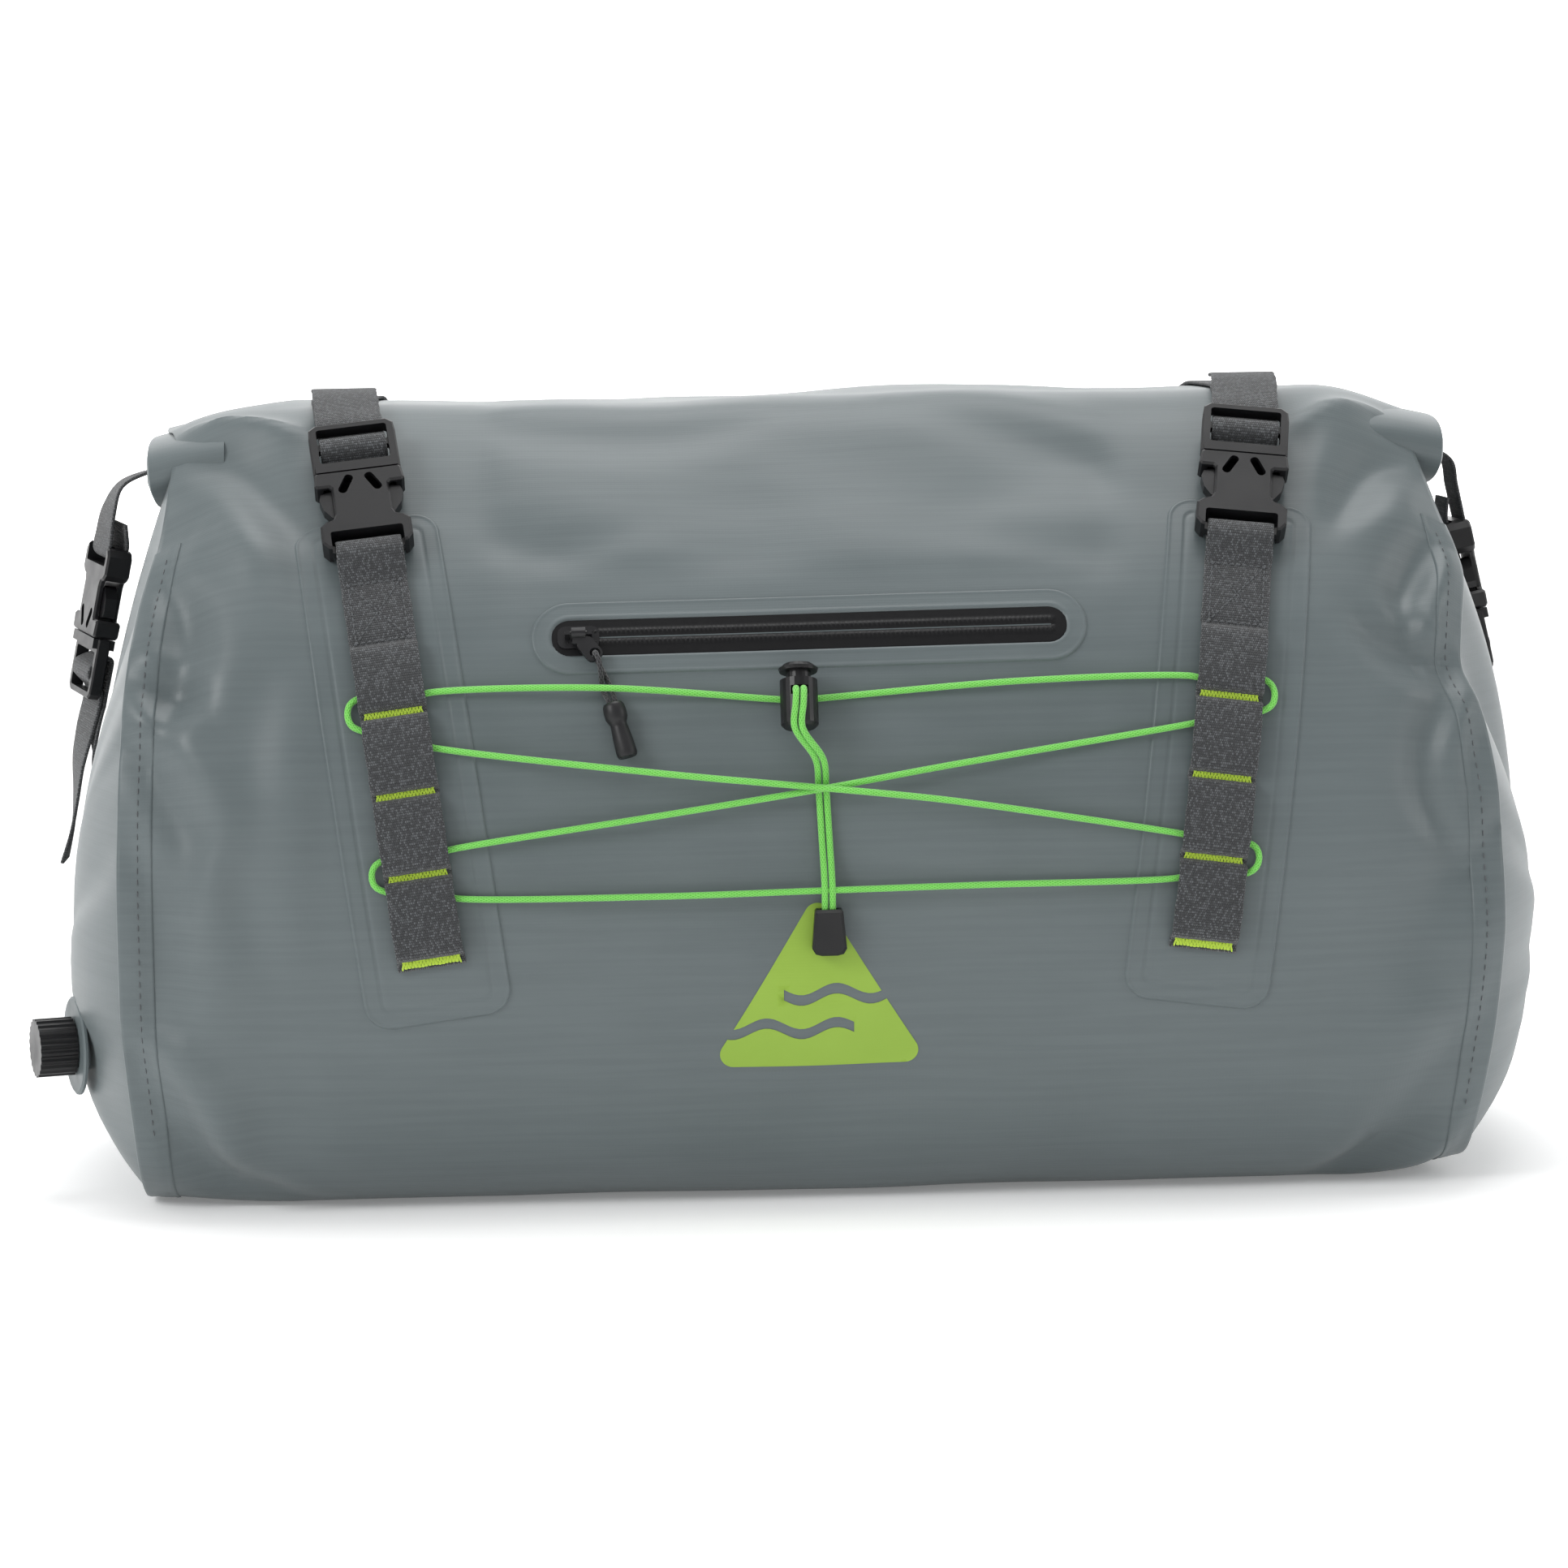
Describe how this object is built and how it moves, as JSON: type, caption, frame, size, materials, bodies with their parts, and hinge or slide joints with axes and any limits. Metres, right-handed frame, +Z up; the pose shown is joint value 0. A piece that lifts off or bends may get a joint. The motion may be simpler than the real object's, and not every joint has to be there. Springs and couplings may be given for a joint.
{
  "type": "dry bag",
  "caption": "Grey roll-top duffel dry bag lying on its base, closed with side-release buckles, with a zip pocket, lime bungee lace with cord lock, and a screw valve in one end.",
  "frame": {"origin": "middle of the flat base, on the surface the bag stands on", "axes": "+X along the bag, away from the valve; -Y out of the front with the zip; +Z up"},
  "size_m": [0.5904, 0.3103, 0.305],
  "materials": {
    "tarpaulin": "grey PVC-coated tarpaulin, satin, fine weave showing through",
    "webbing": "grey flecked polyester webbing with lime bar tacks",
    "acetal": "black moulded acetal, satin",
    "spring_steel": "plain spring wire",
    "lime_print": "lime printed film",
    "lime_bungee": "lime braided cover over elastic",
    "valve_plastic": "grey welded valve body",
    "seal_rubber": "black rubber washer",
    "stiffener_plastic": "black polyethylene strip",
    "zip_tape": "black polyurethane-coated zip tape",
    "zip_coil": "black nylon coil",
    "zip_metal": "black coated zinc",
    "liner": "coated nylon",
    "braided_cord": "black braided polyester",
    "shrink_tube": "black shrink tube"
  },
  "bodies": {
    "bag": {"bungee_lace": "lime_bungee", "cord_end": "acetal", "cord_lock_barrel": "acetal", "cord_lock_spring": "spring_steel", "daisy_strap_left": "webbing", "daisy_strap_right": "webbing", "emblem": "lime_print", "end_panel_left": "tarpaulin", "end_panel_right": "tarpaulin", "end_strap_left": "webbing", "end_strap_right": "webbing", "end_tab_left": "webbing", "end_tab_right": "webbing", "front_left_buckle_female": "acetal", "front_patch_left": "tarpaulin", "front_patch_right": "tarpaulin", "front_right_buckle_female": "acetal", "left_end_buckle_female": "acetal", "pocket_liner": "liner", "rear_patch_left": "tarpaulin", "rear_patch_right": "tarpaulin", "right_end_buckle_female": "acetal", "roll_closure": "tarpaulin", "roll_stiffener": "stiffener_plastic", "seam_tape_left": "tarpaulin", "seam_tape_right": "tarpaulin", "top_strap_left": "webbing", "top_strap_right": "webbing", "valve_body": "valve_plastic", "wrap_panel": "tarpaulin", "zip_coil_lower": "zip_coil", "zip_coil_upper": "zip_coil", "zip_patch": "tarpaulin", "zip_tape_lower": "zip_tape", "zip_tape_upper": "zip_tape"},
    "front_left_male": {"front_left_buckle_male": "acetal"},
    "front_left_arm_a": {"front_left_latch_arm_a": "acetal"},
    "front_left_arm_b": {"front_left_latch_arm_b": "acetal"},
    "front_right_male": {"front_right_buckle_male": "acetal"},
    "front_right_arm_a": {"front_right_latch_arm_a": "acetal"},
    "front_right_arm_b": {"front_right_latch_arm_b": "acetal"},
    "left_end_male": {"left_end_buckle_male": "acetal"},
    "left_end_arm_a": {"left_end_latch_arm_a": "acetal"},
    "left_end_arm_b": {"left_end_latch_arm_b": "acetal"},
    "right_end_male": {"right_end_buckle_male": "acetal"},
    "right_end_arm_a": {"right_end_latch_arm_a": "acetal"},
    "right_end_arm_b": {"right_end_latch_arm_b": "acetal"},
    "zip_slider": {"zip_slider": "zip_metal"},
    "zip_puller": {"zip_pull_tab": "zip_metal", "zip_puller_cord": "braided_cord", "zip_puller_grip": "shrink_tube"},
    "lock_button": {"cord_lock_button": "acetal"},
    "valve_seal": {"valve_seal": "seal_rubber"},
    "valve_cap": {"valve_cap": "acetal"}
  },
  "joints": [
    {"name": "front_left_buckle_pull", "type": "slide", "parent": "bag", "child": "front_left_male", "axis": [-0.1305, 0.6311, 0.7647], "range_m": [0, 0.026], "deforming": ["top_strap_left", "front_left_latch_arm_a", "front_left_latch_arm_b"]},
    {"name": "front_left_latch_a", "type": "hinge", "parent": "front_left_male", "child": "front_left_arm_a", "pos_m": [-0.177, -0.08868, 0.27386], "axis": [0, -0.7713, 0.6365], "range_deg": [0, 7], "stiffness_Nm_per_rad": 0.03},
    {"name": "front_left_latch_b", "type": "hinge", "parent": "front_left_male", "child": "front_left_arm_b", "pos_m": [-0.15896, -0.08717, 0.27569], "axis": [0, -0.7713, 0.6365], "range_deg": [-7, 0], "stiffness_Nm_per_rad": 0.03},
    {"name": "front_right_buckle_pull", "type": "slide", "parent": "bag", "child": "front_right_male", "axis": [0.1305, 0.6311, 0.7647], "range_m": [0, 0.026], "deforming": ["top_strap_right", "front_right_latch_arm_a", "front_right_latch_arm_b"]},
    {"name": "front_right_latch_a", "type": "hinge", "parent": "front_right_male", "child": "front_right_arm_a", "pos_m": [0.15896, -0.08717, 0.27569], "axis": [0, -0.7713, 0.6365], "range_deg": [0, 7], "stiffness_Nm_per_rad": 0.03},
    {"name": "front_right_latch_b", "type": "hinge", "parent": "front_right_male", "child": "front_right_arm_b", "pos_m": [0.177, -0.08868, 0.27386], "axis": [0, -0.7713, 0.6365], "range_deg": [-7, 0], "stiffness_Nm_per_rad": 0.03},
    {"name": "left_end_buckle_pull", "type": "slide", "parent": "bag", "child": "left_end_male", "axis": [-0.2079, 0, -0.9781], "range_m": [0, 0.026], "deforming": ["end_strap_left", "left_end_latch_arm_a", "left_end_latch_arm_b"]},
    {"name": "left_end_latch_a", "type": "hinge", "parent": "left_end_male", "child": "left_end_arm_a", "pos_m": [-0.27416, -0.00855, 0.21068], "axis": [-0.9192, -0.342, 0.1954], "range_deg": [0, 7], "stiffness_Nm_per_rad": 0.03},
    {"name": "left_end_latch_b", "type": "hinge", "parent": "left_end_male", "child": "left_end_arm_b", "pos_m": [-0.28025, 0.00855, 0.21197], "axis": [-0.9192, -0.342, 0.1954], "range_deg": [-7, 0], "stiffness_Nm_per_rad": 0.03},
    {"name": "right_end_buckle_pull", "type": "slide", "parent": "bag", "child": "right_end_male", "axis": [0.2079, 0, -0.9781], "range_m": [0, 0.026], "deforming": ["end_strap_right", "right_end_latch_arm_a", "right_end_latch_arm_b"]},
    {"name": "right_end_latch_a", "type": "hinge", "parent": "right_end_male", "child": "right_end_arm_a", "pos_m": [0.27021, 0.0091, 0.21133], "axis": [0.9781, 0, 0.2079], "range_deg": [0, 7], "stiffness_Nm_per_rad": 0.03},
    {"name": "right_end_latch_b", "type": "hinge", "parent": "right_end_male", "child": "right_end_arm_b", "pos_m": [0.27021, -0.0091, 0.21133], "axis": [0.9781, 0, 0.2079], "range_deg": [-7, 0], "stiffness_Nm_per_rad": 0.03},
    {"name": "zip_slide", "type": "slide", "parent": "bag", "child": "zip_slider", "axis": [0.9999, 0.0053, 0.009], "range_m": [0, 0.168], "deforming": ["zip_puller_cord", "zip_puller_grip"]},
    {"name": "zip_tab_swing", "type": "hinge", "parent": "zip_slider", "child": "zip_puller", "pos_m": [-0.08619, -0.12834, 0.21681], "axis": [-0.9999, -0.0053, -0.009], "range_deg": [0, 150], "deforming": ["zip_puller_cord", "zip_puller_grip"]},
    {"name": "cord_lock_press", "type": "slide", "parent": "bag", "child": "lock_button", "axis": [0, -0.3456, -0.9384], "range_m": [0, 0.003], "stiffness_N_per_m": 800, "deforming": ["cord_lock_spring"]},
    {"name": "valve_cap_lift", "type": "slide", "parent": "bag", "child": "valve_seal", "axis": [-0.9511, -0.309, 0], "range_m": [0, 0.0052]},
    {"name": "valve_cap_turn", "type": "hinge", "parent": "valve_seal", "child": "valve_cap", "pos_m": [-0.28182, -0.07177, 0.05795], "axis": [-0.9511, -0.309, 0], "range_deg": [0, 720]}
  ],
  "couplings": [
    {"joint": "front_left_latch_b", "follows": "front_left_latch_a", "ratio": -1},
    {"joint": "front_right_latch_b", "follows": "front_right_latch_a", "ratio": -1},
    {"joint": "left_end_latch_b", "follows": "left_end_latch_a", "ratio": -1},
    {"joint": "right_end_latch_b", "follows": "right_end_latch_a", "ratio": -1},
    {"joint": "valve_cap_lift", "follows": "valve_cap_turn", "m_per_rad": 0.00039789}
  ]
}
